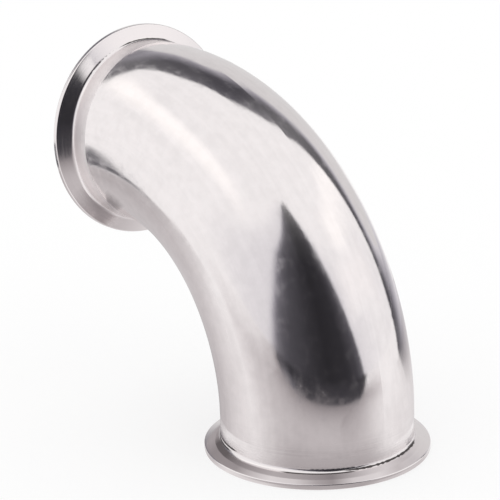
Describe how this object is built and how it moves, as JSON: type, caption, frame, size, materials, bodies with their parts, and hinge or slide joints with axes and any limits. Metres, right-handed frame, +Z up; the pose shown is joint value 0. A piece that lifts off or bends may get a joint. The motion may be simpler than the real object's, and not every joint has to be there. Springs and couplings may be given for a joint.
{
  "type": "sanitary elbow",
  "caption": "Quarter-turn bend of polished stainless tube with a flanged clamp ferrule, grooved for a gasket, welded flush to each end.",
  "frame": {"origin": "centre of the lower ferrule's sealing face, on the bore's axis", "axes": "+Z up, from the lower sealing face into the lower bore; the bend runs over towards -X in the plane Y = 0, and the upper sealing face looks along -X"},
  "size_m": [0.207, 0.119, 0.207],
  "materials": {
    "polished_tube": "polished",
    "turned_ferrule": "fine turned and satin ground"
  },
  "bodies": {
    "root": {"elbow_bend": "polished_tube", "lower_ferrule": "turned_ferrule", "upper_ferrule": "turned_ferrule"}
  },
  "joints": []
}
